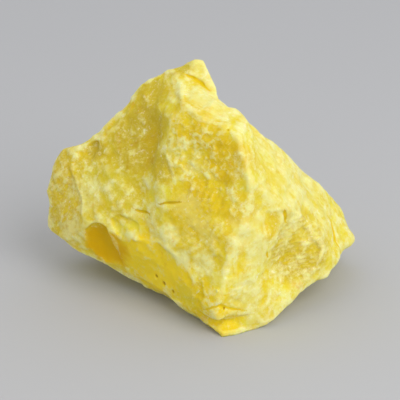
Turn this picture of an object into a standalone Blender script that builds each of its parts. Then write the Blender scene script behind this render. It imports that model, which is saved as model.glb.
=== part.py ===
"""A lump of native sulfur, broken from a vein, standing on its flattest break.

Three rough blocks are trimmed by flat breaks: the body, the shoulder at its left and the crown on top.
Two notches are cut out of the body, and the shoulder and the crown are joined to it. Shell-shaped
hollows are then struck out of the lump, and its skin is worn.
Lengths are in millimetres until the mesh is scaled to metres at the end.
A bearing is in degrees from +X towards +Y, so 270 faces the front. A rise is in degrees above level.
"""

import math

import bmesh
import bpy
from mathutils import Matrix, Vector, noise

METRES_PER_MM = 0.001
NODE_NAME = "sulfur_lump"

# The point from which the reach of each break is measured.
HEART = Vector((0.0, 0.0, 26.0))
ROUGH_BLOCK = 160.0
# The blocks go this far below the floor, and are cut off level with it at the end.
BELOW_FLOOR = 2.0

# Each break is (bearing, rise, reach from the heart).
BODY_BREAKS = {
    "front_left": (242.5, 14.5, 19.0),
    "brow": (290.0, 70.0, 32.0),
    "right_roof": (340.0, 26.5, 26.0),
    "front_right": (300.0, 0.0, 27.5),
    "right_cheek": (309.0, 2.0, 27.5),
    "right_end": (6.0, 26.5, 31.0),
    "right_heel": (340.0, -54.0, 34.0),
    "left_chin": (225.5, -16.5, 22.5),
    "left_under": (210.0, -49.0, 25.0),
    "left_foot": (190.0, -25.5, 24.5),
    "left_back": (139.5, 35.5, 30.0),
    "top_back": (87.0, 41.0, 25.5),
    "right_back": (30.0, 46.5, 22.5),
    "rear": (95.0, -6.0, 30.0),
    "rear_right": (48.0, 12.0, 34.0),
    "base": (0.0, -90.0, 26.0 + BELOW_FLOOR),
}

SHOULDER_BREAKS = {
    "left_end": (217.5, 10.0, 25.5),
    "shoulder_top": (120.0, 63.0, 21.0),
    "shoulder_back": (156.0, 8.0, 39.0),
    "shoulder_under": (240.5, -21.5, 19.5),
    "shoulder_sole": (205.0, -62.0, 27.0),
    "shoulder_front": (238.5, 22.5, 16.2),
    "shoulder_rear": (110.0, 10.0, 26.0),
    "buried": (20.0, 0.0, -6.0),
}

CROWN_BREAKS = {
    "crown_right": (271.5, 42.5, 23.5),
    "crown_left": (213.5, 53.0, 30.0),
    "crown_side": (12.5, 14.5, 11.0),
    "crown_back": (122.5, 50.5, 32.0),
    "crown_rear": (85.0, 25.0, 19.6),
    "crown_end": (195.0, 0.0, 7.5),
    "buried": (0.0, -90.0, -27.0),
}

# A notch takes away what lies beyond both of its faces.
STEP_FACES = {
    "dark_face": (217.5, 13.5, 18.0),
    "left_flank": (238.5, 22.5, 16.0),
}
UPPER_STEP_FACES = {
    "brow_edge": (187.0, 11.0, 12.5),
    "upper_flank": (211.0, 40.0, 26.3),
}

# Each hollow is (centre of its rim, bearing, rise, width, height, depth, roll).
HOLLOWS = {
    "cheek_hollow": ((23.9, -16.3, 19.6), 309.0, 2.0, 18.0, 24.0, 2.2, -15.0),
    "valley": ((-14.0, -6.5, 44.5), 222.0, 16.0, 11.0, 28.0, 2.8, 6.0),
    "brow_notch": ((5.5, -8.0, 56.6), 10.0, 50.0, 4.0, 7.0, 1.0, 0.0),
    "roof_notch": ((13.9, -11.5, 49.9), 0.0, 45.0, 5.0, 8.0, 1.0, 0.0),
    "bottom_lip": ((8.0, -27.3, 4.2), 285.0, -5.0, 12.0, 3.0, 1.6, 0.0),
    "back_shell": ((-6.0, 27.0, 34.0), 92.0, 25.0, 30.0, 24.0, 3.5, 20.0),
    "back_low_shell": ((14.0, 29.0, 14.0), 80.0, -2.0, 20.0, 16.0, 2.5, -30.0),
}
# A hollow is the cap that this share of a ball's radius cuts off.
SHELL_CUT = 0.6

# Each layer of wear is (size of its lumps, how far it shifts the surface).
WEAR = ((13.0, 1.3), (5.5, 0.55), (2.6, 0.3))
WEAR_SEED = 2
VOXEL = 0.8
# A corner this near to the floor is moved onto it, so that the cut leaves no slivers.
FLOOR_SNAP = 0.45
TRIANGLES = 7600


def clear_scene():
    for thing in list(bpy.data.objects):
        bpy.data.objects.remove(thing, do_unlink=True)


def facing(bearing, rise):
    """The unit vector that points along a bearing and a rise."""
    level = math.cos(math.radians(rise))
    return Vector((
        level * math.cos(math.radians(bearing)),
        level * math.sin(math.radians(bearing)),
        math.sin(math.radians(rise)),
    ))


def new_object(name, bm):
    mesh = bpy.data.meshes.new(name)
    bm.to_mesh(mesh)
    bm.free()
    thing = bpy.data.objects.new(name, mesh)
    bpy.context.scene.collection.objects.link(thing)
    return thing


def trimmed_block(name, planes):
    """A rough cube round the heart, cut back to every plane, given as (outward, reach)."""
    bm = bmesh.new()
    bmesh.ops.create_cube(bm, size=ROUGH_BLOCK, matrix=Matrix.Translation(HEART))
    for outward, reach in planes:
        everything = bm.verts[:] + bm.edges[:] + bm.faces[:]
        cut = bmesh.ops.bisect_plane(
            bm, geom=everything, plane_co=HEART + outward * reach, plane_no=outward, clear_outer=True
        )
        rim = [piece for piece in cut["geom_cut"] if isinstance(piece, bmesh.types.BMEdge)]
        if rim:
            bmesh.ops.contextual_create(bm, geom=rim)
    bmesh.ops.recalc_face_normals(bm, faces=bm.faces)
    return new_object(name, bm)


def broken_block(name, breaks):
    """The stone inside every break."""
    return trimmed_block(name, [(facing(bearing, rise), reach) for bearing, rise, reach in breaks.values()])


def notch_block(name, faces):
    """The space beyond every face of a notch."""
    return trimmed_block(name, [(-facing(bearing, rise), -reach) for bearing, rise, reach in faces.values()])


def hollow_block(name, rim_centre, bearing, rise, width, height, depth, roll):
    """A flattened ball whose cap is the hollow."""
    outward = facing(bearing, rise)
    turn = outward.to_track_quat("Z", "Y").to_matrix().to_4x4() @ Matrix.Rotation(math.radians(roll), 4, "Z")
    rim_share = math.sqrt(1.0 - SHELL_CUT ** 2)
    deep = depth / (1.0 - SHELL_CUT)
    centre = Vector(rim_centre) + outward * deep * SHELL_CUT
    size = Matrix.Diagonal((width / 2 / rim_share, height / 2 / rim_share, deep, 1.0))
    bm = bmesh.new()
    bmesh.ops.create_icosphere(bm, subdivisions=4, radius=1.0, matrix=Matrix.Translation(centre) @ turn @ size)
    return new_object(name, bm)


def applied(thing):
    """Bake the modifiers of an object into its mesh."""
    depsgraph = bpy.context.evaluated_depsgraph_get()
    result = bpy.data.meshes.new_from_object(thing.evaluated_get(depsgraph))
    thing.modifiers.clear()
    thing.data = result


def combine(target, other, operation):
    """Join the other block to the target, or take it away, and drop the other block."""
    modifier = target.modifiers.new(operation.lower(), "BOOLEAN")
    modifier.operation = operation
    modifier.solver = "EXACT"
    modifier.object = other
    applied(target)
    bpy.data.objects.remove(other, do_unlink=True)


def wear(lump):
    """Shift every point by a smooth field of noise, which can't fold the surface."""
    noise.seed_set(WEAR_SEED)
    for vertex in lump.data.vertices:
        shift = Vector()
        for size, depth in WEAR:
            shift += noise.noise_vector(vertex.co / size) * depth
        vertex.co += shift


def remesh(lump):
    """Give the lump one even skin."""
    modifier = lump.modifiers.new("skin", "REMESH")
    modifier.mode = "VOXEL"
    modifier.voxel_size = VOXEL
    applied(lump)


def thin_out(lump):
    """Keep only the triangles that the form needs."""
    triangulate = lump.modifiers.new("triangles", "TRIANGULATE")
    triangulate.quad_method = "BEAUTY"
    applied(lump)
    decimate = lump.modifiers.new("fewer", "DECIMATE")
    decimate.ratio = TRIANGLES / len(lump.data.polygons)
    applied(lump)


def cut_base(lump):
    """Cut the lump off level with the floor and close it with one flat face."""
    bm = bmesh.new()
    bm.from_mesh(lump.data)
    for vert in bm.verts:
        if abs(vert.co.z) < FLOOR_SNAP:
            vert.co.z = 0.0
    everything = bm.verts[:] + bm.edges[:] + bm.faces[:]
    bmesh.ops.bisect_plane(
        bm, geom=everything, dist=0.001, plane_co=(0, 0, 0), plane_no=(0, 0, -1), clear_outer=True
    )
    level = [face for face in bm.faces if all(vert.co.z == 0.0 for vert in face.verts)]
    bmesh.ops.delete(bm, geom=level, context="FACES")
    rim = [edge for edge in bm.edges if edge.is_boundary]
    bmesh.ops.holes_fill(bm, edges=rim, sides=0)
    bmesh.ops.recalc_face_normals(bm, faces=bm.faces)
    bm.to_mesh(lump.data)
    bm.free()


def centre_on_floor(lump):
    xs = [vertex.co.x for vertex in lump.data.vertices]
    ys = [vertex.co.y for vertex in lump.data.vertices]
    middle = Vector(((min(xs) + max(xs)) / 2, (min(ys) + max(ys)) / 2, 0.0))
    lump.data.transform(Matrix.Translation(-middle))


def sulfur_material():
    material = bpy.data.materials.new("sulfur")
    material.use_nodes = True
    shader = material.node_tree.nodes["Principled BSDF"]
    shader.inputs["Base Color"].default_value = (0.78, 0.66, 0.13, 1.0)
    shader.inputs["Roughness"].default_value = 0.75
    shader.inputs["Metallic"].default_value = 0.0
    material.diffuse_color = (0.78, 0.66, 0.13, 1.0)
    return material


def main():
    clear_scene()
    lump = broken_block(NODE_NAME, BODY_BREAKS)
    combine(lump, notch_block("step", STEP_FACES), "DIFFERENCE")
    combine(lump, notch_block("upper_step", UPPER_STEP_FACES), "DIFFERENCE")
    combine(lump, broken_block("shoulder", SHOULDER_BREAKS), "UNION")
    combine(lump, broken_block("crown", CROWN_BREAKS), "UNION")
    for name, hollow in HOLLOWS.items():
        combine(lump, hollow_block(name, *hollow), "DIFFERENCE")
    remesh(lump)
    wear(lump)
    thin_out(lump)
    cut_base(lump)
    centre_on_floor(lump)
    lump.data.transform(Matrix.Scale(METRES_PER_MM, 4))
    lump.data.materials.clear()
    lump.data.materials.append(sulfur_material())


main()
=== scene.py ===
import math

import bmesh
import bpy
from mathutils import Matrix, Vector
from mathutils.bvhtree import BVHTree


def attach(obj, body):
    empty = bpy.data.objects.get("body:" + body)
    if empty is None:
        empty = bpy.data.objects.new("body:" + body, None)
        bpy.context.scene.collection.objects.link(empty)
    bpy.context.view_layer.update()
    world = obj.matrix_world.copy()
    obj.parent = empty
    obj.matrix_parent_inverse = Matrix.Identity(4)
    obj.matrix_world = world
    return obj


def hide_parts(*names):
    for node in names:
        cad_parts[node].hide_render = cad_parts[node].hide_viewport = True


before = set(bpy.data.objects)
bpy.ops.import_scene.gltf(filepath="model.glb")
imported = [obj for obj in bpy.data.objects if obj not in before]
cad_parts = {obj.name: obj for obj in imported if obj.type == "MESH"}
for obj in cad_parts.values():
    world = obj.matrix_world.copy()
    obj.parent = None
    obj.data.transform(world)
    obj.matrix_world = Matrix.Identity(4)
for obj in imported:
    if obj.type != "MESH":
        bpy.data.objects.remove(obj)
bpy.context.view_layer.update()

mm = 0.001
print("the block is in")


# ---- sums on sockets, for shapes and finishes alike

aside = 1.7                     # how much further along y than along x a shifted pattern goes
midTone = (0.5, 0.5, 0.5)       # the middle of what a colour noise gives


class Flow:
    # one output socket; a sum with it lays the node that works the sum out
    def __init__(self, bench, socket):
        self.bench = bench
        self.socket = socket

    def __add__(self, other):
        return self.bench.reckon("ADD", self, other)

    def __radd__(self, other):
        return self.bench.reckon("ADD", other, self)

    def __sub__(self, other):
        return self.bench.reckon("SUBTRACT", self, other)

    def __rsub__(self, other):
        return self.bench.reckon("SUBTRACT", other, self)

    def __mul__(self, other):
        return self.bench.reckon("MULTIPLY", self, other)

    def __rmul__(self, other):
        return self.bench.reckon("MULTIPLY", self, other)

    def __truediv__(self, other):
        return self.bench.reckon("DIVIDE", self, other)

    def __rtruediv__(self, other):
        return self.bench.reckon("DIVIDE", other, self)

    def beside(self, name):
        return Flow(self.bench, self.socket.node.outputs[name])


class Bench:
    # lays the nodes of one tree
    def __init__(self, tree):
        self.tree = tree

    def put(self, kind, setup=None, feeds=None, out=0):
        node = self.tree.nodes.new(kind)
        for name, value in (setup or {}).items():
            setattr(node, name, value)
        for name, value in (feeds or {}).items():
            if isinstance(value, Flow):
                self.tree.links.new(value.socket, node.inputs[name])
            else:
                node.inputs[name].default_value = value
        return Flow(self, node.outputs[out])

    def isVector(self, thing):
        if isinstance(thing, Flow):
            return thing.socket.type in ("VECTOR", "RGBA")
        return not isinstance(thing, (int, float))

    def reckon(self, sign, first, second):
        if not self.isVector(first) and not self.isVector(second):
            return self.put("ShaderNodeMath", {"operation": sign}, {0: first, 1: second})
        if sign == "MULTIPLY" and not self.isVector(second):
            return self.put("ShaderNodeVectorMath", {"operation": "SCALE"},
                            {"Vector": first, "Scale": second})
        return self.put("ShaderNodeVectorMath", {"operation": sign}, {0: first, 1: second})

    def along(self, first, second):
        # how far one vector goes along another
        return self.put("ShaderNodeVectorMath", {"operation": "DOT_PRODUCT"}, {0: first, 1: second}, "Value")

    def span(self, first, second):
        # the distance between two points
        return self.put("ShaderNodeVectorMath", {"operation": "DISTANCE"}, {0: first, 1: second}, "Value")

    def size(self, value):
        return self.put("ShaderNodeMath", {"operation": "ABSOLUTE"}, {0: value})

    def waves(self, value, pitch):
        # up and down once in every pitch, from -1 to 1
        return self.put("ShaderNodeMath", {"operation": "SINE"}, {0: value * (2.0 * math.pi) / pitch})

    def clip(self, value):
        return self.put("ShaderNodeClamp", {}, {"Value": value})

    def rise(self, value, low, high):
        # 0 below low, 1 above high, and smooth in between; low may be the larger
        return self.put("ShaderNodeMapRange", {"interpolation_type": "SMOOTHSTEP"},
                        {"Value": value, "From Min": low, "From Max": high})

    def shifted(self, place, shift):
        # another stretch of the same pattern
        return place + (shift, aside * shift, -shift)

    def clouds(self, place, size, detail=2.0, rough=0.5, shift=0.0):
        # soft lumps of about this many millimetres, from 0 to 1
        return self.put("ShaderNodeTexNoise", {}, {"Vector": self.shifted(place, shift), "Scale": 1.0 / size,
                                                   "Detail": detail, "Roughness": rough})

    def swing(self, place, size, **settings):
        # the same soft lumps, from -1 to 1
        return (self.clouds(place, size, **settings) - 0.5) * 2.0

    def shiver(self, place, size, far, shift=0.0):
        # the place moved up to this far by soft noise, so that what is drawn there gets ragged
        noise = self.put("ShaderNodeTexNoise", {},
                         {"Vector": self.shifted(place, shift), "Scale": 1.0 / size}, "Color")
        return place + (noise - midTone) * (2.0 * far)

    def worms(self, place, size, width, shift=0.0):
        # thin winding lines, this many millimetres apart
        level = self.size(self.clouds(place, size, detail=4.0, rough=0.6, shift=shift) - 0.5)
        return self.rise(level, width, 0.0)

    def flakes(self, place, size, lean, shift=0.0):
        # flat flakes, each with its own lean, and a small step where two meet
        moved = self.shifted(place, shift)
        middle = self.put("ShaderNodeTexVoronoi", {}, {"Vector": moved, "Scale": 1.0 / size}, "Position")
        tilt = middle.beside("Color") - midTone
        return self.along(moved - middle, tilt) * lean

    def blurred(self, value, times):
        # a vector field softened over the mesh this many times
        return self.put("GeometryNodeBlurAttribute", {"data_type": "FLOAT_VECTOR"},
                        {"Value": value, "Iterations": times})

    def drawnOut(self, place, way, times):
        # the place squeezed along one way, so that a pattern on it is this many times longer that way
        way = tuple(Vector(way).normalized())
        return place - self.along(place, way) * (1.0 - 1.0 / times) * way


def ray(bearing, height):
    # the way that a bearing from +X towards +Y and a height above level give, both in degrees
    level = math.cos(math.radians(height))
    return Vector((level * math.cos(math.radians(bearing)), level * math.sin(math.radians(bearing)),
                   math.sin(math.radians(height))))


# ---- the lump's own places, in millimetres from the middle of its base

def spot(middle, radius, tint, share, powder=0.0, chips=0.0, shine=0.0):
    # a patch: the tint that it leans to and how far, how much more or less powder it holds,
    # how much more or less chipped it is, and how it shines
    return {"middle": middle, "radius": radius, "tint": tint, "share": share,
            "powder": powder, "chips": chips, "shine": shine}


def groove(width, depth, tone, *points):
    # a line cut into the skin, or standing proud where its depth is below 0; one point alone is a pit;
    # the tone goes from brown, a painted shade, at 0 to vivid yellow at 1, and to pale powder at 2
    return {"width": width, "depth": depth, "tone": tone, "points": points}


def scar(bearing, height, dish, *corners):
    # where a flake broke off: the way it came off, how much deeper the middle is, and the scar's corners,
    # each with its own depth below the skin
    return {"facing": (bearing, height), "dish": dish, "corners": corners}


# parts of the surface that have a look of their own, some of them painted shade and painted bounce light, as
# marked; a later one lies over an earlier one
patches = {
    "curdled": spot((-1.0, -17.0, 45.0), 11.0, "golden", 0.3, powder=0.05, chips=0.9),
    # darker golden and less powder under the brow: painted shade of the hollow there
    "amber": spot((6.0, -22.0, 45.5), 7.5, "golden", 0.75, powder=-0.3, chips=-0.1, shine=0.4),
    "underBrow": spot((2.0, -18.0, 51.5), 6.0, "golden", 0.55, powder=-0.35, chips=0.3),
    "shell": spot((0.0, -22.5, 29.0), 12.0, "golden", 0.4, powder=-0.3, chips=0.1, shine=0.1),
    "haze": spot((12.2, -25.8, 28.5), 6.0, "powder", 0.35, powder=0.2),
    # the cheek's hollow is painted darker ochre: painted shade
    "hollow": spot((25.5, -15.5, 19.5), 12.0, "ochre", 0.8, powder=-0.1, chips=0.5),
    "roof": spot((24.0, -6.0, 36.0), 23.0, "straw", 0.4, chips=-0.1),
    "roofEdge": spot((25.0, 0.5, 42.0), 20.0, "straw", 0.3, powder=0.15),
    "brow": spot((3.8, -8.6, 57.6), 9.0, "powder", 0.35, powder=0.25),
    "end": spot((-38.5, 3.5, 23.0), 13.0, "beige", 0.75, powder=-0.25, chips=0.1),
    # the chin is painted bright honey: painted bounce light on a face turned down into shade
    "chin": spot((-14.0, -14.5, 13.0), 11.5, "paintedBounceHoney", 0.85, powder=-0.4, chips=-0.25, shine=0.6),
    # the recess is painted amber and bare of powder: painted glow and painted shade of a hollow between lumps
    "recess": spot((-25.0, -5.5, 15.0), 8.0, "amber", 1.0, powder=-0.9, chips=-0.3, shine=1.0),
    "foot": spot((2.5, -28.0, 6.5), 10.0, "vivid", 0.7, powder=-0.35, chips=0.8),
    "underside": spot((-3.5, -24.0, 9.5), 7.0, "vivid", 0.7, powder=-0.35, chips=0.2),
    # nub, notch, valley, slope, browSide, valleyHead, ridgeHigh and ridgeSide lean to olive: painted shade on
    # faces turned away from the light
    "nub": spot((-5.5, 3.0, 62.5), 5.5, "paintedShadeOlive", 0.65, powder=-0.25, chips=-0.3),
    "nubFace": spot((0.5, 0.0, 63.0), 4.5, "straw", 0.6, powder=-0.05, chips=-0.3),
    "notch": spot((-28.3, 1.6, 39.0), 3.5, "paintedShadeOlive", 0.9, powder=-0.5),
    "valley": spot((-16.0, -4.0, 44.5), 11.0, "paintedShadeOlive", 0.75, powder=-0.3),
    "slope": spot((-23.0, -4.0, 34.0), 14.0, "paintedShadeOlive", 0.4, powder=-0.12),
    "browSide": spot((-13.0, 0.5, 54.5), 6.5, "paintedShadeOlive", 0.7, powder=-0.5),
    "valleyHead": spot((-16.4, -1.4, 48.4), 4.5, "paintedShadeOlive", 0.6, powder=-0.4),
    "browFoot": spot((-3.5, -13.0, 54.0), 6.5, "golden", 0.5, powder=-0.45, chips=0.2),
    "face": spot((-1.8, -20.8, 32.5), 9.0, "golden", 0.3, powder=-0.5),
    "belly": spot((8.4, -25.0, 34.5), 6.0, "golden", 0.55, powder=-0.4, shine=0.2),
    "ridgeHigh": spot((-11.1, -8.6, 50.5), 4.5, "paintedShadeOlive", 0.6, powder=-0.5, chips=0.2),
    "ridgeSide": spot((-10.3, -13.3, 40.3), 5.5, "paintedShadeOlive", 0.6, powder=-0.5, chips=0.2),
    "wedgeHigh": spot((-8.6, -19.4, 24.4), 3.8, "powder", 0.4, powder=0.5, chips=0.1),
    "wedgeMid": spot((-5.2, -22.0, 18.8), 3.0, "powder", 0.5, powder=0.6, chips=0.1),
    "wedgeLow": spot((0.3, -25.3, 19.2), 3.8, "powder", 0.4, powder=0.5, chips=0.1),
    "hollowTop": spot((15.0, -23.5, 21.5), 6.0, "straw", 0.6, powder=0.3),
    "hollowStain": spot((17.6, -22.4, 27.5), 4.5, "golden", 0.6, powder=-0.6),
    "footRight": spot((10.5, -27.0, 9.8), 6.5, "straw", 0.6, powder=0.25),
    # painted bounce light, as on the chin
    "chinEnd": spot((-6.3, -21.5, 13.0), 6.0, "paintedBounceHoney", 0.7, powder=-0.5, chips=-0.25, shine=0.5),
    "chinLow": spot((-4.1, -23.1, 8.9), 4.5, "lemon", 0.5, powder=0.2),
    "shoulderTop": spot((-37.5, 6.5, 35.0), 6.0, "beige", 0.7, powder=-0.4),
    "shoulderRim": spot((-30.0, -2.8, 28.5), 5.5, "straw", 0.4, powder=0.2),
    "back": spot((-6.0, 26.0, 34.0), 15.0, "golden", 0.35, powder=-0.15, chips=0.3, shine=0.1),
    "backLow": spot((14.0, 28.0, 13.0), 11.0, "ochre", 0.45, powder=-0.15, chips=0.6),
    "backRoof": spot((20.0, 14.0, 42.0), 16.0, "straw", 0.4, powder=0.05),
}
# how ragged the rim of a patch is, and how much of its radius has its full look
patchRim = {"size": 3.0, "ragged": 0.3, "mostRagged": 2.2, "core": 0.62}

# a crack's tone below 1 paints it partly brown, a painted shade in it
cracks = {
    "crown": groove(0.65, 0.7, 0.9, (-5.0, 0.4, 60.9), (-2.6, -1.3, 60.2), (-0.2, -2.4, 59.2),
                    (2.0, -4.1, 57.6)),
    "middle": groove(0.5, 0.5, 0.5, (-11.1, -14.9, 31.2), (-9.4, -16.4, 32.0), (-6.9, -18.0, 32.85),
                     (-4.9, -18.6, 33.3)),
    "flank": groove(0.55, 0.5, 0.65, (-18.3, -10.4, 28.0), (-16.3, -11.2, 27.3), (-13.3, -14.0, 27.7)),
    "cheekHigh": groove(0.9, 0.35, 0.7, (21.0, -19.1, 31.1), (21.2, -17.2, 26.8)),
    "cheekMid": groove(0.7, 0.5, 0.7, (18.6, -22.0, 26.9), (17.1, -23.4, 24.6)),
    "cheekLow": groove(0.6, 0.5, 0.7, (16.6, -23.0, 21.7), (16.7, -21.6, 18.9)),
    "ledgeLow": groove(0.45, 0.45, 0.8, (-0.2, -26.7, 6.9), (4.1, -30.5, 9.9), (8.0, -28.5, 7.8),
                       (12.0, -25.9, 5.9)),
    "heel": groove(0.9, 0.4, 0.85, (33.6, 0.8, 19.9), (35.1, -2.1, 15.1), (37.0, -3.0, 12.0)),
}
# crests that hold pale powder
seams = {
    "ridge": groove(1.4, -0.08, 2.0, (9.8, -18.0, 52.9), (11.6, -23.5, 44.5), (11.9, -25.0, 37.9),
                    (12.6, -24.6, 35.1), (10.3, -26.6, 31.3), (8.4, -28.0, 25.2), (8.5, -28.6, 14.9)),
    "browLow": groove(1.1, -0.05, 2.0, (-5.9, -7.9, 56.7), (-1.1, -14.8, 54.5), (3.6, -16.7, 53.9),
                      (9.8, -18.0, 52.9)),
    "browLeft": groove(1.2, -0.08, 2.0, (-8.0, -0.4, 59.5), (-6.5, -4.1, 58.3), (-4.5, -10.9, 56.8)),
    "middleLeft": groove(1.1, -0.15, 2.0, (-7.2, -12.8, 51.6), (-7.7, -13.5, 47.8), (-8.3, -14.1, 44.0),
                         (-7.8, -15.3, 40.4), (-6.6, -17.0, 36.9)),
    "recessRight": groove(1.0, -0.1, 2.0, (-24.9, -9.0, 21.6), (-22.9, -8.6, 17.5), (-22.2, -7.2, 12.0)),
    "chinTop": groove(0.9, -0.04, 2.0, (-15.8, -14.3, 20.8), (-11.4, -17.4, 21.8), (-6.9, -21.1, 19.7),
                      (-3.3, -24.4, 16.5), (-1.2, -26.8, 12.6)),
    "cheekLeft": groove(0.8, -0.05, 2.0, (15.1, -23.0, 31.8), (15.7, -24.1, 23.3), (14.9, -23.7, 12.4)),
}
# pits are painted mostly brown, a painted shade in them
pits = {
    "chinA": groove(0.75, 0.8, 0.3, (-13.5, -15.5, 9.7)),
    "chinB": groove(0.85, 0.8, 0.3, (-11.3, -17.1, 8.6)),
    "chinC": groove(0.75, 0.6, 0.4, (-8.8, -19.3, 7.4)),
    "brow": groove(0.5, 0.6, 0.5, (6.4, -18.9, 53.0)),
    "foot": groove(1.0, 1.2, 0.2, (5.6, -29.6, 8.9)),
}
scars = {
    "chin": scar(225.0, -16.0, 0.6, (-20.4, -10.7, 18.6, 0.2), (-15.8, -14.3, 20.3, 0.2),
                 (-11.4, -17.4, 21.3, 0.2), (-6.9, -21.1, 19.2, 0.15), (-3.5, -24.3, 16.0, 0.1),
                 (-1.6, -26.7, 12.3, 0.0), (0.3, -27.4, 6.7, 0.0), (-5.0, -20.5, 5.5, 0.0),
                 (-18.3, -6.6, 6.1, 0.0), (-22.6, -7.6, 14.9, 0.2)),
    "cheek": scar(305.0, 3.0, 0.4, (15.6, -22.5, 32.6, 0.1), (21.5, -18.6, 30.9, 0.4),
                  (26.8, -13.1, 23.0, 0.8), (30.9, -12.1, 17.1, 0.8), (29.0, -13.5, 10.7, -0.2),
                  (21.9, -19.2, 8.5, -0.4), (17.4, -21.8, 11.5, 0.1), (17.8, -21.9, 17.0, 0.7),
                  (16.4, -23.4, 22.0, 0.8), (17.5, -22.5, 26.5, 0.9)),
    "recess": scar(238.0, -15.0, 1.2, (-31.0, -5.2, 19.0, 0.6), (-29.2, -6.9, 21.6, 1.3),
                   (-26.6, -8.2, 22.3, 1.6), (-24.8, -9.0, 21.0, 1.3), (-22.8, -7.2, 14.6, 1.0),
                   (-20.7, -6.3, 9.3, 0.5), (-25.4, -3.0, 8.9, 0.3), (-29.4, -2.9, 12.7, 0.2),
                   (-31.0, -4.0, 16.1, 0.4)),
    "ledgeHigh": scar(225.0, 0.0, 0.0, (-18.3, -10.5, 27.7, 0.5), (-16.4, -11.3, 26.8, 0.9),
                      (-14.6, -12.5, 27.5, 0.8), (-13.2, -13.8, 26.2, 0.1), (-14.4, -13.3, 24.6, -0.3),
                      (-17.6, -11.5, 25.0, -0.3)),
    "ledgeLow": scar(238.0, 10.0, 0.0, (-23.9, -8.6, 24.2, 0.4), (-21.6, -9.6, 25.6, 0.7),
                     (-18.8, -10.9, 25.2, 0.9), (-16.3, -12.3, 24.0, 0.6), (-17.3, -13.5, 20.5, -0.2),
                     (-21.4, -9.8, 18.8, -0.1)),
    "rimHigh": scar(235.0, 5.0, 0.0, (-9.5, -19.3, 21.5, -0.2), (-6.5, -22.3, 21.0, 0.6),
                    (-4.2, -24.0, 18.2, 0.6), (-6.5, -21.2, 16.8, -0.2)),
    "rimLow": scar(236.0, 0.0, 0.1, (-3.6, -25.2, 15.8, 0.2), (-0.6, -27.2, 14.5, 0.7),
                   (0.6, -27.9, 10.8, 0.7), (-2.2, -25.0, 9.4, -0.2), (-4.2, -23.6, 12.0, -0.2)),
    "crown": scar(275.0, 50.0, 0.2, (-5.0, 0.6, 61.0, 0.2), (-2.6, -1.0, 60.5, 0.7),
                  (-0.2, -2.1, 59.4, 0.6), (2.0, -3.9, 57.7, 0.1), (-0.2, -3.4, 58.6, 0.1),
                  (-2.6, -2.1, 59.5, 0.1), (-4.5, -0.6, 60.4, 0.1)),
    "foot": scar(280.0, -10.0, 0.2, (-0.6, -25.5, 5.7, 0.3), (6.1, -29.6, 6.0, 0.7),
                 (12.0, -25.9, 5.0, 0.4), (11.0, -26.1, 1.6, 0.2), (4.2, -28.7, 1.6, 0.1),
                 (-1.0, -25.0, 1.5, 0.1)),
    "shoulder": scar(235.0, 30.0, 0.0, (-31.2, 3.6, 37.8, 0.1), (-28.9, 1.2, 36.6, 0.5),
                     (-27.2, 1.3, 39.6, 0.9), (-26.9, 2.9, 41.6, 0.6), (-29.5, 3.8, 39.6, 0.4)),
    "end": scar(222.0, 10.0, 0.2, (-36.2, 5.2, 35.8, -0.1), (-34.6, 3.0, 33.0, 0.0),
                (-33.2, 0.6, 30.0, 0.1), (-31.6, -1.8, 26.6, 0.15), (-31.5, -4.6, 21.5, 0.2),
                (-33.8, -2.1, 17.9, -0.2), (-37.1, 1.3, 16.9, -0.4), (-39.2, 4.5, 21.0, -0.5),
                (-39.7, 7.5, 26.3, -0.5)),
}
# where the stone stands out further than the block: middle, radius and height
swells = {"shoulder": ((-39.5, 8.0, 29.5), 9.0, 1.6)}
# the way the streaks of a patch run, how many times longer than wide they are, and how strong
falls = {
    "roof": ((26.0, 14.0, -37.0), 7.0, 0.8),
    "brow": ((14.0, -7.0, -4.0), 7.0, 0.8),
    "end": ((0.64, -0.77, 1.05), 3.5, 0.9),
    "hollow": ((0.8, 0.6, 0.05), 2.5, 0.7),
    "shell": ((12.7, -9.4, -9.2), 3.5, 0.4),
    "back": ((0.6, 0.2, -1.0), 4.0, 0.6),
    "backRoof": ((1.0, 0.3, -0.8), 6.0, 0.7),
}


def patch(bench, place, name):
    # 1 inside the patch and 0 outside it, with a ragged rim
    middle, radius = patches[name]["middle"], patches[name]["radius"]
    ragged = min(patchRim["mostRagged"], patchRim["ragged"] * radius)
    gap = bench.span(bench.shiver(place, patchRim["size"], ragged), middle)
    return bench.rise(gap, radius, patchRim["core"] * radius)


# ---- blotches, which the relief and the finish share

# size in mm, detail, roughness and shift of the noise, the levels that it comes in between, and its share
mottles = {
    "clots": (3.6, 5.0, 0.74, 11.0, 0.42, 0.67, 1.0),
    "gaps": (2.2, 3.0, 0.6, 23.0, 0.40, 0.56, 1.0),
    "pale": (4.5, 4.0, 0.6, 0.0, 0.38, 0.62, 1.0),
    "rich": (9.0, 4.0, 0.6, 7.0, 0.5, 0.66, 0.6),
    "flecks": (1.8, 4.0, 0.7, 52.0, 0.40, 0.58, 1.5),
    "dust": (0.8, 4.0, 0.65, 90.0, 0.46, 0.64, 0.15),
    "specks": (0.9, 3.0, 0.65, 40.0, 0.54, 0.68, 0.7),
    "rust": (5.0, 5.0, 0.65, 77.0, 0.62, 0.74, 0.45),
    "umber": (2.6, 5.0, 0.7, 33.0, 0.52, 0.66, 0.6),
}
crusting = {
    "tearSize": 1.1,        # mm, as the rest is
    "tearReach": 0.45,
    "crestGap": 3.4,
    "crestWidth": 0.11,
}


def mottle(bench, place, name):
    size, detail, rough, shift, low, high, share = mottles[name]
    return bench.rise(bench.clouds(place, size, detail, rough, shift), low, high) * share


def crust(bench, place):
    # the pale powder's own pattern: clotted clouds, and winding crests that come and go
    torn = bench.shiver(place, crusting["tearSize"], crusting["tearReach"], shift=2.0)
    crests = bench.worms(torn, crusting["crestGap"], crusting["crestWidth"], shift=5.0)
    return mottle(bench, torn, "clots"), crests * mottle(bench, place, "gaps")


# ---- the skin, cast from the block

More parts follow.
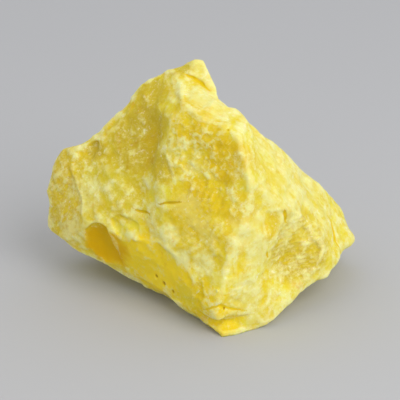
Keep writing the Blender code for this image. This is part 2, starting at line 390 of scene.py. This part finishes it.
lump = {
    "name": "sulfur_stone",
    "grid": 0.33,           # mm between the points of the fine skin
    "merge": 0.002,         # mm between corners of the block that are one corner
    "softening": 1,         # passes that take the block's facets off
    "softness": 0.5,
    "triangles": 190000,
    "floorBand": 0.30,      # mm above the floor that is pressed flat
    "flakeReach": 6.0,      # mm that a broken flake stood out from its scar
}


def linked(name, mesh):
    thing = bpy.data.objects.new(name, mesh)
    bpy.context.scene.collection.objects.link(thing)
    return thing


def settle(thing):
    # turn an object's modifiers into its mesh
    bpy.context.view_layer.update()
    mesh = bpy.data.meshes.new_from_object(thing.evaluated_get(bpy.context.evaluated_depsgraph_get()))
    thing.modifiers.clear()
    thing.data = mesh
    return thing


def knockOff(stone, name):
    # break a flake off the stone, down to the scar
    corners = scars[name]["corners"]
    outward = ray(*scars[name]["facing"])
    floor = [Vector(corner[:3]) - outward * corner[3] for corner in corners]
    lid = [point + outward * lump["flakeReach"] for point in floor]
    count = len(corners)
    middle = sum(floor, Vector()) / count - outward * scars[name]["dish"]
    points = floor + lid + [middle, sum(lid, Vector()) / count]
    faces = []
    for i in range(count):
        j = (i + 1) % count
        faces += [(i, j, 2 * count), (count + j, count + i, 2 * count + 1), (i, count + i, count + j, j)]
    mesh = bpy.data.meshes.new(name)
    mesh.from_pydata([point * mm for point in points], [], faces)
    shape = bmesh.new()
    shape.from_mesh(mesh)
    bmesh.ops.recalc_face_normals(shape, faces=shape.faces)
    shape.to_mesh(mesh)
    shape.free()
    flake = linked(name, mesh)
    cut = stone.modifiers.new(name, "BOOLEAN")
    cut.operation = "DIFFERENCE"
    cut.solver = "EXACT"
    cut.object = flake
    settle(stone)
    bpy.data.objects.remove(flake)


def recast(thing):
    # one even closed skin round everything
    cast = thing.modifiers.new("cast", "REMESH")
    cast.mode = "VOXEL"
    cast.voxel_size = lump["grid"] * mm
    cast.use_smooth_shade = True


def castSkin():
    shape = bmesh.new()
    shape.from_mesh(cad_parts["sulfur_lump"].data)
    bmesh.ops.remove_doubles(shape, verts=shape.verts, dist=lump["merge"] * mm)
    mesh = bpy.data.meshes.new(lump["name"])
    shape.to_mesh(mesh)
    shape.free()
    skin = linked(lump["name"], mesh)
    for name in scars:
        knockOff(skin, name)
    recast(skin)
    smooth = skin.modifiers.new("soften", "SMOOTH")
    smooth.factor = lump["softness"]
    smooth.iterations = lump["softening"]
    return settle(skin)


# ---- cracks, seams and pits

cutting = {
    "step": 0.25,           # mm between the points laid along a line
    "thinnest": 0.05,       # share of its width that a line keeps at its ends, before the taper
    "taper": 0.6,
    "waver": 0.25,          # mm that a line wavers
    "waverSize": 1.2,
    "slope": 0.7,           # share of a line's width that its sides take
    "offSkin": (1.2, 0.6),  # mm from its own depth where a line has ended, and where it is whole
    "evenPasses": 20,       # passes that even out the way a line is cut
}


def cutLines(skin):
    # the points along every crack, seam and pit, laid on the skin, each with its width, depth and tone
    surface = BVHTree.FromPolygons([v.co for v in skin.data.vertices],
                                   [tuple(f.vertices) for f in skin.data.polygons])
    points, marks = [], {"width": [], "depth": [], "tone": []}

    def lay(point, line, taper):
        points.append(surface.find_nearest(point)[0])
        marks["width"].append(line["width"] * taper)
        marks["depth"].append(line["depth"] * taper)
        marks["tone"].append(line["tone"])

    for line in [*cracks.values(), *seams.values(), *pits.values()]:
        stops = [Vector(point) * mm for point in line["points"]]
        if len(stops) == 1:
            lay(stops[0], line, 1.0)
        lengths = [(b - a).length for a, b in zip(stops, stops[1:])]
        total, done = sum(lengths), 0.0
        for a, b, length in zip(stops, stops[1:], lengths):
            steps = max(2, int(length / (cutting["step"] * mm)))
            for i in range(steps):
                along = (done + length * i / steps) / total
                taper = max(cutting["thinnest"], math.sin(math.pi * along)) ** cutting["taper"]
                lay(a.lerp(b, i / steps), line, taper)
            done += length
    mesh = bpy.data.meshes.new("cuts")
    mesh.from_pydata(points, [], [])
    for name, values in marks.items():
        mesh.attributes.new(name, "FLOAT", "POINT").data.foreach_set("value", values)
    return linked("cuts", mesh)


def nearestCut(bench, inlet, place):
    # 1 to 0 from the middle to the rim of the nearest crack, seam or pit, its depth and its tone
    cuts = bench.put("GeometryNodeObjectInfo", {"transform_space": "ORIGINAL"},
                     {"Object": inlet.beside("Cuts")}, "Geometry")
    ragged = bench.shiver(place, cutting["waverSize"], cutting["waver"]) * mm
    nearest = bench.put("GeometryNodeSampleNearest", {}, {"Geometry": cuts, "Sample Position": ragged})

    def read(kind, field):
        return bench.put("GeometryNodeSampleIndex", {"data_type": kind},
                         {"Geometry": cuts, "Value": field, "Index": nearest})

    def readNamed(name):
        named = bench.put("GeometryNodeInputNamedAttribute", {"data_type": "FLOAT"}, {"Name": name})
        return read("FLOAT", named)

    width, depth, tone = (readNamed(name) for name in ("width", "depth", "tone"))
    # only the way along the skin counts, so that the bottom of a deep crack is as near as its rim
    outward = bench.blurred(bench.put("GeometryNodeInputNormal"), cutting["evenPasses"])
    gap = (ragged - read("FLOAT_VECTOR", bench.put("GeometryNodeInputPosition"))) * (1.0 / mm)
    sunk = bench.along(gap, outward)
    inside = bench.clip(1.0 - bench.span(gap, outward * sunk) / width)
    return inside * bench.rise(bench.size(sunk) - bench.size(depth), *cutting["offSkin"]), depth, tone


# ---- a tree of geometry nodes with named sliders

def shapeTree(name, sliders, cuts):
    tree = bpy.data.node_groups.new(name, "GeometryNodeTree")
    face = tree.interface
    face.new_socket("Geometry", in_out="INPUT", socket_type="NodeSocketGeometry")
    face.new_socket("Cuts", in_out="INPUT", socket_type="NodeSocketObject")
    for label, value in sliders.items():
        kind = "NodeSocketInt" if isinstance(value, int) else "NodeSocketFloat"
        face.new_socket(label, in_out="INPUT", socket_type=kind)
    face.new_socket("Geometry", in_out="OUTPUT", socket_type="NodeSocketGeometry")
    bench = Bench(tree)
    return bench, bench.put("NodeGroupInput"), dict(sliders, Cuts=cuts)


def runTree(thing, bench, result, values):
    # close the tree and hang it on the thing, with its sliders set
    real = bench.put("GeometryNodeRealizeInstances", {}, {"Geometry": result})
    done = bench.put("GeometryNodeSetMaterial", {}, {"Geometry": real, "Material": sulfur})
    outlet = bench.tree.nodes.new("NodeGroupOutput")
    bench.tree.links.new(done.socket, outlet.inputs[0])
    work = thing.modifiers.new(bench.tree.name, "NODES")
    work.node_group = bench.tree
    for item in bench.tree.interface.items_tree:
        if item.in_out == "INPUT" and item.name in values:
            work[item.identifier] = values[item.name]


# ---- the relief: lumps, flakes, chips, curds, streaks, ribs, ledges, grain, cuts and crumbs

carving = {
    "Tear size": 2.2,
    "Tear reach": 0.32,
    "Lump size": 7.0,
    "Lump height": 0.22,
    "Flake size": 6.0,
    "Flake lean": 0.07,
    "Chip size": 2.4,
    "Chip lean": 0.12,
    "Crest height": 0.17,
    "Crust height": 0.11,
    "Streak width": 1.7,
    "Streak height": 0.16,
    "Rib pitch": 1.9,
    "Rib height": 0.13,
    "Ledge pitch": 1.15,
    "Ledge height": 0.11,
    "Grain size": 0.9,
    "Grain height": 0.07,
    "Crumb size": 0.36,
    "Crumbs in a cm2": 12.0,
}
relief = {
    "evenPasses": 8,                    # passes that even out the way the relief stands
    "tornSize": 2.5,                    # mm; lumps, flakes and streaks are torn by up to the reach
    "tornReach": 0.7,
    "chipped": 0.4,                     # how chipped the stone is away from its patches
    "curdled": 0.15,                    # how curdled it is away from them, and in the hollow
    "curdledHollow": 0.5,
    "calmChin": 0.6,                    # share of the lumps that the chin lacks
    "swellCore": 0.2,                   # share of a swell's radius that is at its full height
    "struckAt": (-12.0, -12.0, 40.0),   # the middle of the rings that the ribs lie on
    "ribWaverSize": 6.0,
    "ribWaver": 1.6,
    "ledgeWay": (0.08, 0.0, 1.0),       # the way that the ledges follow each other
    "ledgeWaverSize": 2.0,
    "ledgeWaver": 0.35,
    "footing": (0.2, 1.6),              # mm above the floor between which the relief comes in
}
crumbling = {
    "footing": (1.2, 2.5),              # mm above the floor between which the crumbs come in
    "foot": 0.7,                        # how crumbly the foot is
    "dentsInAMm": 1.3,
    "dent": 1.1,                        # how far the dents reach, in radii
    "mostTurn": (6.28, 6.28, 6.28),
    "slimmest": (0.5, 0.5, 0.35),
    "stoutest": (1.5, 1.1, 0.8),
}
perCm2 = 10000.0                        # square centimetres in a square metre


def layCrumbs(bench, dial, moved, place, height, area):
    # crumbs stuck to the rough breaks
    rough = bench.clip(area["curdled"] + area["hollow"] + area["foot"] * crumbling["foot"])
    rough = rough * bench.rise(height, *crumbling["footing"])
    spread = bench.put("GeometryNodeDistributePointsOnFaces", {},
                       {"Mesh": moved, "Density": dial("Crumbs in a cm2") * perCm2 * rough, "Seed": 4})
    ball = bench.put("GeometryNodeMeshIcoSphere", {}, {"Radius": mm, "Subdivisions": 2})
    dents = bench.put("ShaderNodeTexNoise", {}, {"Vector": place, "Scale": crumbling["dentsInAMm"]}, "Color")
    crumb = bench.put("GeometryNodeSetPosition", {},
                      {"Geometry": ball, "Offset": (dents - midTone) * (crumbling["dent"] * mm)})
    turn = bench.put("FunctionNodeRandomValue", {"data_type": "FLOAT_VECTOR"},
                     {"Min": (0.0, 0.0, 0.0), "Max": crumbling["mostTurn"], "Seed": 1})
    stretch = bench.put("FunctionNodeRandomValue", {"data_type": "FLOAT_VECTOR"},
                        {"Min": crumbling["slimmest"], "Max": crumbling["stoutest"], "Seed": 2})
    return bench.put("GeometryNodeInstanceOnPoints", {},
                     {"Points": spread, "Instance": crumb, "Rotation": turn,
                      "Scale": stretch * dial("Crumb size")})


def carve(skin, cuts):
    bench, inlet, values = shapeTree("carving", carving, cuts)
    dial = inlet.beside
    place = bench.put("GeometryNodeInputPosition") * (1.0 / mm)
    outward = bench.blurred(bench.put("GeometryNodeInputNormal"), relief["evenPasses"])
    torn = bench.shiver(place, relief["tornSize"], relief["tornReach"])

    area = {name: patch(bench, place, name) for name in patches}
    chipped = relief["chipped"]
    for name, look in patches.items():
        chipped = chipped + area[name] * look["chips"]
    chipped = bench.clip(chipped)

    flakes = bench.flakes(torn, dial("Flake size"), dial("Flake lean"))
    chips = bench.flakes(torn, dial("Chip size"), dial("Chip lean"), shift=31.0)
    lumps = bench.swing(torn, dial("Lump size"), detail=3.0, rough=0.6, shift=51.0) * dial("Lump height")
    rise = (flakes + chips) * chipped + lumps * (1.0 - area["chin"] * relief["calmChin"])

    for middle, radius, height in swells.values():
        rise = rise + bench.rise(bench.span(place, middle), radius, relief["swellCore"] * radius) * height

    clots, crests = crust(bench, place)
    curdled = bench.clip(area["curdled"] + area["hollow"] * relief["curdledHollow"] + relief["curdled"])
    rise = rise + crests * dial("Crest height") * curdled + clots * dial("Crust height") * chipped

    for name, (way, times, much) in falls.items():
        streaks = bench.swing(bench.drawnOut(torn, way, times), dial("Streak width"), shift=3.0)
        rise = rise + streaks * much * dial("Streak height") * area[name]

    struck = bench.span(bench.shiver(place, relief["ribWaverSize"], relief["ribWaver"]), relief["struckAt"])
    rise = rise + bench.waves(struck, dial("Rib pitch")) * dial("Rib height") * area["shell"]
    wavering = bench.shiver(place, relief["ledgeWaverSize"], relief["ledgeWaver"], shift=6.0)
    ledges = bench.waves(bench.along(wavering, relief["ledgeWay"]), dial("Ledge pitch"))
    rise = rise + ledges * dial("Ledge height") * area["hollow"]

    grain = bench.swing(place, dial("Grain size"), rough=0.55, shift=17.0)
    rise = rise + grain * dial("Grain height") * chipped

    inside, depth, _ = nearestCut(bench, inlet, place)
    rise = rise - bench.rise(inside, 0.0, cutting["slope"]) * depth

    height = bench.put("ShaderNodeSeparateXYZ", {}, {"Vector": place}, "Z")
    tear = (bench.shiver(place, dial("Tear size"), 1.0, shift=44.0) - place) * dial("Tear reach")
    lift = bench.rise(height, *relief["footing"])
    moved = bench.put("GeometryNodeSetPosition", {},
                      {"Geometry": inlet.beside("Geometry"), "Offset": (outward * rise + tear) * (lift * mm)})

    crumbs = layCrumbs(bench, dial, moved, place, height, area)
    both = bench.put("GeometryNodeJoinGeometry", {}, {"Geometry": moved})
    bench.tree.links.new(crumbs.socket, both.socket.node.inputs[0])
    runTree(skin, bench, both, values)
    recast(skin)
    trim = skin.modifiers.new("triangles", "TRIANGULATE")
    trim.quad_method = "SHORTEST_DIAGONAL"
    settle(skin)
    thin = skin.modifiers.new("thin", "DECIMATE")
    thin.ratio = min(1.0, lump["triangles"] / len(skin.data.polygons))
    return settle(skin)


def pressFlat(skin):
    # the base lies on the floor, level and without waves
    for vertex in skin.data.vertices:
        if vertex.co.z < lump["floorBand"] * mm:
            vertex.co.z = 0.0


# ---- marks that the finish reads: ridges, edges, dips, cuts and patches

# passes of softening that a ridge, an edge and a dip are measured against
marking = {"Ridge reach": 5, "Edge reach": 30, "Dip reach": 120}
markPasses = 3                  # passes that even out the way they are measured


def mark(skin, cuts):
    bench, inlet, values = shapeTree("marking", marking, cuts)
    here = bench.put("GeometryNodeInputPosition")
    place = here * (1.0 / mm)
    outward = bench.blurred(bench.put("GeometryNodeInputNormal"), markPasses)
    near, middle, far = (bench.blurred(here, inlet.beside(label)) for label in marking)
    inside, _, tone = nearestCut(bench, inlet, place)
    marks = {
        "ridge": bench.along(here - near, outward) * (1.0 / mm),
        "edge": bench.along(near - middle, outward) * (1.0 / mm),
        "dip": bench.along(far - middle, outward) * (1.0 / mm),
        "cut": inside,
        "tone": tone,
    }
    for name in patches:
        marks[name] = patch(bench, place, name)
    made = inlet.beside("Geometry")
    for name, value in marks.items():
        made = bench.put("GeometryNodeStoreNamedAttribute", {"data_type": "FLOAT", "domain": "POINT"},
                         {"Geometry": made, "Name": name, "Value": value})
    runTree(skin, bench, made, values)
    return settle(skin)


# ---- the finish

def paint(red, green, blue):
    # a colour as it looks on screen, 0 to 255, as the shader wants it
    def plain(value):
        value = value / 255.0
        return value / 12.92 if value <= 0.04045 else ((value + 0.055) / 1.055) ** 2.4
    return (plain(red), plain(green), plain(blue), 1.0)


finish = {
    "lemon": paint(231, 215, 58),
    "yellow": paint(228, 204, 34),
    "vivid": paint(238, 208, 20),
    "golden": paint(225, 190, 18),
    # honey: painted bounce light, brighter than the stone, on the chin
    "paintedBounceHoney": paint(255, 221, 38),
    # amber: painted glow and painted shade, on the recess only
    "amber": paint(226, 181, 0),
    "rust": paint(224, 164, 30),
    # ochre: painted shade where it tints the cheek's hollow
    "ochre": paint(198, 170, 28),
    "powder": paint(237, 231, 152),
    "white": paint(244, 240, 200),
    "straw": paint(228, 214, 104),
    # olive: painted shade on faces turned away from the light
    "paintedShadeOlive": paint(200, 175, 46),
    "beige": paint(214, 184, 50),
    "umber": paint(196, 154, 24),
    # brown in cracks and pits: painted shade
    "deep": paint(166, 122, 14),
    "tearSize": 1.4,            # mm by which blotches have ragged edges, and how far they are torn
    "tearReach": 0.5,
    "clotLevel": 0.8,           # how much of the clots shows
    "clotDrift": 0.65,          # how much that changes from place to place
    "driftSize": 11.0,
    "curdledClots": 0.3,        # how much less of them the curdled break shows
    "crestLevel": 0.15,
    "curdledCrests": 0.55,
    "fineStreaks": 1.4,         # mm across
    "broadStreaks": 3.6,
    "seamPowder": 0.25,         # share of a seam's powder where no clot is
    "seamClots": 0.6,
    "roughness": 0.72,
    "roughnessDrift": 0.1,
    "roughnessSize": 1.5,
    "polish": 0.2,              # how much smoother a shining patch is
    "glow": 0.5,                # share of light that goes into the stone and out again
    "glowReach": 1.1 * mm,
    "glowTints": (1.0, 0.75, 0.2),
    "gloss": 0.15,
}
# what is finer than the relief; sizes and heights in mm
bump = {
    "strength": 0.45,
    "grainSize": 0.38,
    "grain": 0.14,
    "clots": 0.10,
    "crests": 0.06,
    "flakeSize": 0.9,
    "flakeLean": 0.25,
}
# how a mark comes in: the levels that it comes in between, and its share
bands = {
    # the two rows for dips are painted shade in the hollows
    "paintedShadeGoldInDips": (0.1, 0.7, 0.5),
    "powderOnRidges": (0.0, 0.06, 0.3),
    "powderOnEdges": (0.05, 0.35, 0.25),
    "paintedShadeBareDips": (0.0, 0.5, 0.3),
    "bareStreaks": (0.52, 0.40, 0.6),
    "paleStreaks": (0.49, 0.58, 0.7),
    "cuts": (0.1, 0.6, 1.0),
}
# how strongly umber blotches mark a patch; in the valley they are painted shade in its small creases
umberBlotches = {"valley": 0.8, "end": 0.6, "hollow": 0.5, "amber": 0.5, "back": 0.4}


def sulfurFinish():
    material = bpy.data.materials.new("sulfur_stone")
    material.use_nodes = True
    bench = Bench(material.node_tree)
    shader = material.node_tree.nodes["Principled BSDF"]
    place = bench.put("ShaderNodeTexCoord", {}, {}, "Object") * (1.0 / mm)
    torn = bench.shiver(place, finish["tearSize"], finish["tearReach"], shift=2.0)

    def marked(name):
        return bench.put("ShaderNodeAttribute", {"attribute_name": name}, {}, "Fac")

    def over(mask, under, top):
        return bench.put("ShaderNodeMix", {"data_type": "RGBA"}, {0: mask, 6: under, 7: top}, 2)

    def band(value, name):
        low, high, share = bands[name]
        return bench.rise(value, low, high) * share

    ridge, edge, dip, cut, tone = (marked(name) for name in ("ridge", "edge", "dip", "cut", "tone"))
    area = {name: marked(name) for name in patches}

    colour = over(mottle(bench, torn, "pale"), finish["yellow"], finish["lemon"])
    colour = over(mottle(bench, torn, "rich"), colour, finish["golden"])
    shine, extra = 0.0, 0.0
    flecks = mottle(bench, torn, "flecks")
    for name, look in patches.items():
        colour = over(area[name] * look["share"], colour, finish[look["tint"]])
        shine = shine + area[name] * look["shine"]
        # powder comes in flecks, but it is taken off evenly; on the patches that are painted shade this is
        # part of it
        held = area[name] * look["powder"]
        extra = extra + (held * flecks if look["powder"] > 0.0 else held)
    shine = bench.clip(shine)
    dull = 1.0 - shine
    # dips are painted golden: painted shade in the hollows
    colour = over(band(dip, "paintedShadeGoldInDips"), colour, finish["golden"])

    # pale powder in clots, on crests and on what stands proud, kept out of the dips as painted shade there
    clots, crests = crust(bench, place)
    drift = bench.swing(place, finish["driftSize"], shift=61.0) * finish["clotDrift"]
    clotted = clots * (finish["clotLevel"] + drift - area["curdled"] * finish["curdledClots"])
    crested = crests * (finish["crestLevel"] + area["curdled"] * finish["curdledCrests"])
    proud = band(ridge, "powderOnRidges") + band(edge, "powderOnEdges")
    powder = bench.clip(clotted + crested + proud + extra - band(dip, "paintedShadeBareDips"))
    colour = over(powder, colour, finish["powder"])
    for name, (way, times, much) in falls.items():
        slope = bench.drawnOut(torn, way, times)
        fine = bench.clouds(slope, finish["fineStreaks"], detail=4.0, rough=0.65, shift=3.0)
        broad = bench.clouds(slope, finish["broadStreaks"], shift=19.0)
        streaks = (fine + broad) * 0.5
        colour = over(band(streaks, "bareStreaks") * much * area[name], colour, finish["yellow"])
        colour = over(band(streaks, "paleStreaks") * much * area[name], colour, finish["powder"])
    colour = over(mottle(bench, torn, "dust") * dull, colour, finish["powder"])
    colour = over(mottle(bench, torn, "specks") * clots * dull, colour, finish["white"])
    colour = over(mottle(bench, torn, "rust"), colour, finish["rust"])
    blotch = mottle(bench, torn, "umber")
    for name, much in umberBlotches.items():
        colour = over(blotch * much * area[name], colour, finish["umber"])

    # cracks and pits are painted from brown, a painted shade in them, to vivid yellow by their tone, and
    # seams hold powder
    seam = bench.clip(tone - 1.0)
    inside = over(seam, over(bench.clip(tone), finish["deep"], finish["vivid"]), finish["powder"])
    thinned = 1.0 - seam * (1.0 - finish["seamPowder"] - clots * finish["seamClots"])
    colour = over(band(cut, "cuts") * thinned, colour, inside)
    bench.tree.links.new(colour.socket, shader.inputs["Base Color"])

    drift = bench.swing(place, finish["roughnessSize"], detail=3.0, rough=0.6, shift=5.0)
    roughness = finish["roughness"] - shine * finish["polish"] + drift * finish["roughnessDrift"]
    bench.tree.links.new(roughness.socket, shader.inputs["Roughness"])

    grain = bench.clouds(place, bump["grainSize"], detail=3.0, rough=0.6, shift=8.0) * bump["grain"]
    grain = grain + clots * bump["clots"] + crests * bump["crests"]
    grain = grain + bench.flakes(torn, bump["flakeSize"], bump["flakeLean"], shift=3.0) * dull
    bumped = bench.put("ShaderNodeBump", {}, {"Strength": bump["strength"], "Distance": mm, "Height": grain})
    bench.tree.links.new(bumped.socket, shader.inputs["Normal"])

    shader.inputs["Subsurface Weight"].default_value = finish["glow"]
    shader.inputs["Subsurface Radius"].default_value = finish["glowTints"]
    shader.inputs["Subsurface Scale"].default_value = finish["glowReach"]
    shader.inputs["Specular IOR Level"].default_value = finish["gloss"]
    return material


# ---- floor, light and camera

studio = {
    "floorRadius": 2.5,
    "floorSides": 96,
    "floorGrey": paint(186, 186, 187),
    "floorRoughness": 0.9,
    "sky": (0.95, 0.96, 0.985, 1.0),
    "skyStrength": 0.78,
    "keyBearing": 305.0,
    "keyRise": 38.0,
    "keyDistance": 0.9,
    "keyWidth": 0.7,
    "keyWatts": 4.4,
}
view = {
    "aim": Vector((-0.65, -1.15, 26.0)) * mm,
    "bearing": 270.0,
    "height": 24.0,         # degrees above level
    "distance": 0.5,
    "nearest": 0.01,
    "seen": 0.10525,        # width of what the picture takes in, at the aim
    "sensor": 36.0,
}


def layFloor():
    shape = bmesh.new()
    bmesh.ops.create_circle(shape, cap_ends=True, segments=studio["floorSides"], radius=studio["floorRadius"])
    mesh = bpy.data.meshes.new("floor")
    shape.to_mesh(mesh)
    shape.free()
    floor = linked("floor", mesh)
    material = bpy.data.materials.new("floor")
    material.use_nodes = True
    shader = material.node_tree.nodes["Principled BSDF"]
    shader.inputs["Base Color"].default_value = studio["floorGrey"]
    shader.inputs["Roughness"].default_value = studio["floorRoughness"]
    mesh.materials.append(material)


def aimed(thing, bearing, height, distance):
    # set a lamp or camera at a distance from the aim, looking at it
    way = ray(bearing, height)
    thing.location = view["aim"] + way * distance
    thing.rotation_euler = way.to_track_quat("Z", "Y").to_euler()
    return thing


def lightUp():
    world = bpy.data.worlds.new("studio")
    bpy.context.scene.world = world
    world.use_nodes = True
    sky = world.node_tree.nodes["Background"]
    sky.inputs["Color"].default_value = studio["sky"]
    sky.inputs["Strength"].default_value = studio["skyStrength"]
    lamp = bpy.data.lights.new("key", "AREA")
    lamp.shape = "DISK"
    lamp.size = studio["keyWidth"]
    lamp.energy = studio["keyWatts"]
    aimed(linked("key", lamp), studio["keyBearing"], studio["keyRise"], studio["keyDistance"])


def placeCamera():
    lens = bpy.data.cameras.new("camera")
    lens.sensor_width = view["sensor"]
    lens.lens = view["sensor"] * view["distance"] / view["seen"]
    lens.clip_start = view["nearest"]
    camera = aimed(linked("camera", lens), view["bearing"], view["height"], view["distance"])
    bpy.context.scene.camera = camera


# ---- making it

placeCamera()
layFloor()
lightUp()
bpy.context.scene.view_settings.view_transform = "Standard"
print("floor, light and camera are up")

sulfur = sulfurFinish()
stone = castSkin()
print("the skin is cast:", len(stone.data.polygons), "faces")
cuts = cutLines(stone)
carve(stone, cuts)
pressFlat(stone)
print("the relief is carved:", len(stone.data.polygons), "faces")
mark(stone, cuts)
bpy.data.objects.remove(cuts)
stone.data.shade_smooth()
print("the marks are set")

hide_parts("sulfur_lump")
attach(stone, "root")
